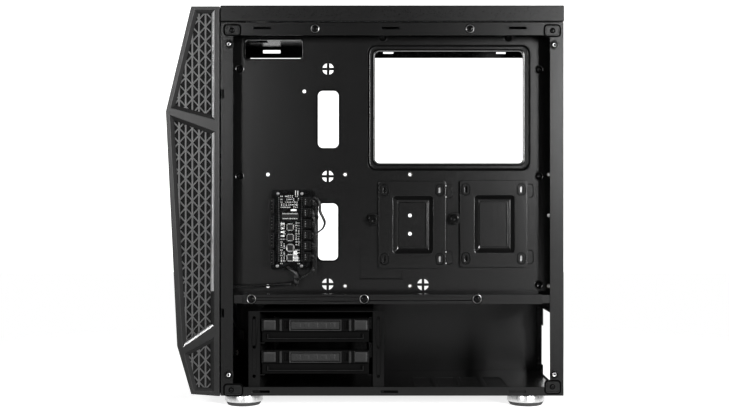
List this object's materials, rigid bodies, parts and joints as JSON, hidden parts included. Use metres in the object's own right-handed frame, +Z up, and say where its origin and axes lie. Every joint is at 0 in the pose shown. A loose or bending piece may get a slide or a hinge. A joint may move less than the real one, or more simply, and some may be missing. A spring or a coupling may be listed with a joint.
{
  "type": "desktop computer tower case",
  "caption": "Open mid-tower computer case seen with side panels off: steel chassis, slanted lattice bezel, drive bays, hub, feet.",
  "frame": {"origin": "centre of the bounding box's base, on the surface under the feet", "axes": "+Z up, -Y towards the front bezel, +X towards the open cable side"},
  "size_m": [0.21, 0.435, 0.44],
  "materials": {
    "steel_black": "fine textured black paint",
    "screw_black": "black screw finish",
    "screw_bright": "bright zinc",
    "brass": "turned brass",
    "plastic_black": "moulded matt black",
    "board": "solder mask over glass fibre",
    "component": "moulded epoxy and nylon",
    "lead": "soft insulation",
    "cover_plastic": "fine grained moulded black",
    "filter_mesh": "woven nylon mesh in a frame",
    "silver_trim": "satin silver",
    "port_metal": "stamped plated steel",
    "light_lens": "clear lens",
    "rotor_plastic": "frosted grey",
    "rubber": "moulded rubber"
  },
  "bodies": {
    "chassis": {"rear_panel": "steel_black", "front_panel": "steel_black", "top_panel": "steel_black", "floor_panel": "steel_black", "motherboard_tray": "steel_black", "tray_front": "steel_black", "tray_slots": "steel_black", "tray_embossing": "steel_black", "tray_rail": "steel_black", "psu_shroud": "steel_black", "corner_brackets": "steel_black", "rivets": "screw_bright", "side_screws": "screw_black", "standoffs": "brass", "slot_covers": "steel_black", "slot_cover_screws": "screw_black", "drive_cage": "steel_black", "hub_base": "plastic_black", "hub_board": "board", "hub_chips": "component", "hub_headers": "component", "hub_plugs": "component", "hub_screws": "screw_bright", "lead_front": "lead", "lead_loop": "lead", "lead_bundle": "lead", "cable_tie": "plastic_black", "top_cover": "cover_plastic", "port_board": "board", "usb_ports": "port_metal", "audio_ports": "component", "status_light": "light_lens", "fan_frame_top": "plastic_black", "fan_frame_middle": "plastic_black", "fan_frame_bottom": "plastic_black", "fan_screws": "screw_bright", "foot_shells": "silver_trim", "foot_pads": "rubber"},
    "bezel": {"bezel_shell": "cover_plastic", "front_plate": "cover_plastic", "lattice_right": "cover_plastic", "lattice_left": "cover_plastic", "side_filter_right": "filter_mesh", "side_filter_left": "filter_mesh", "bezel_trim": "silver_trim", "front_filter": "filter_mesh", "bezel_clips": "plastic_black"},
    "fan_top": {"fan_rotor_top": "rotor_plastic"},
    "fan_middle": {"fan_rotor_middle": "rotor_plastic"},
    "fan_bottom": {"fan_rotor_bottom": "rotor_plastic"},
    "power_key": {"power_button": "silver_trim"},
    "reset_key": {"reset_button": "cover_plastic"},
    "drive_tray_upper": {"hdd_tray_upper": "plastic_black"},
    "drive_tray_lower": {"hdd_tray_lower": "plastic_black"},
    "bracket_front": {"ssd_bracket_front": "steel_black"},
    "bracket_rear": {"ssd_bracket_rear": "steel_black"},
    "thumbscrew_front": {"ssd_thumbscrew_front": "screw_black"},
    "thumbscrew_rear": {"ssd_thumbscrew_rear": "screw_black"},
    "dust_filter_top": {"top_filter": "filter_mesh"},
    "dust_filter_psu": {"psu_filter": "filter_mesh"}
  },
  "joints": [
    {"name": "bezel_pull", "type": "slide", "parent": "chassis", "child": "bezel", "axis": [0, -1, 0], "range_m": [0, 0.06]},
    {"name": "fan_bottom_spin", "type": "hinge", "parent": "chassis", "child": "fan_bottom", "pos_m": [0, -0.17, 0.094], "axis": [0, 1, 0], "continuous": true},
    {"name": "fan_middle_spin", "type": "hinge", "parent": "chassis", "child": "fan_middle", "pos_m": [0, -0.17, 0.218], "axis": [0, 1, 0], "continuous": true},
    {"name": "fan_top_spin", "type": "hinge", "parent": "chassis", "child": "fan_top", "pos_m": [0, -0.17, 0.342], "axis": [0, 1, 0], "continuous": true},
    {"name": "power_press", "type": "slide", "parent": "chassis", "child": "power_key", "axis": [0, 0, -1], "range_m": [0, 0.002], "stiffness_N_per_m": 500, "springref_m": -0.001},
    {"name": "reset_press", "type": "slide", "parent": "chassis", "child": "reset_key", "axis": [0, 0, -1], "range_m": [0, 0.0015], "stiffness_N_per_m": 500, "springref_m": -0.001},
    {"name": "drive_tray_upper_slide", "type": "slide", "parent": "chassis", "child": "drive_tray_upper", "axis": [1, 0, 0], "range_m": [0, 0.14]},
    {"name": "drive_tray_lower_slide", "type": "slide", "parent": "chassis", "child": "drive_tray_lower", "axis": [1, 0, 0], "range_m": [0, 0.14]},
    {"name": "bracket_front_lift", "type": "slide", "parent": "chassis", "child": "bracket_front", "axis": [1, 0, 0], "range_m": [0, 0.03]},
    {"name": "bracket_rear_lift", "type": "slide", "parent": "chassis", "child": "bracket_rear", "axis": [1, 0, 0], "range_m": [0, 0.03]},
    {"name": "thumbscrew_front_undo", "type": "slide", "parent": "bracket_front", "child": "thumbscrew_front", "axis": [1, 0, 0], "range_m": [0, 0.012]},
    {"name": "thumbscrew_rear_undo", "type": "slide", "parent": "bracket_rear", "child": "thumbscrew_rear", "axis": [1, 0, 0], "range_m": [0, 0.012]},
    {"name": "filter_top_lift", "type": "slide", "parent": "chassis", "child": "dust_filter_top", "axis": [0, 0, 1], "range_m": [0, 0.03]},
    {"name": "filter_psu_slide", "type": "slide", "parent": "chassis", "child": "dust_filter_psu", "axis": [0, 1, 0], "range_m": [0, 0.15]}
  ]
}
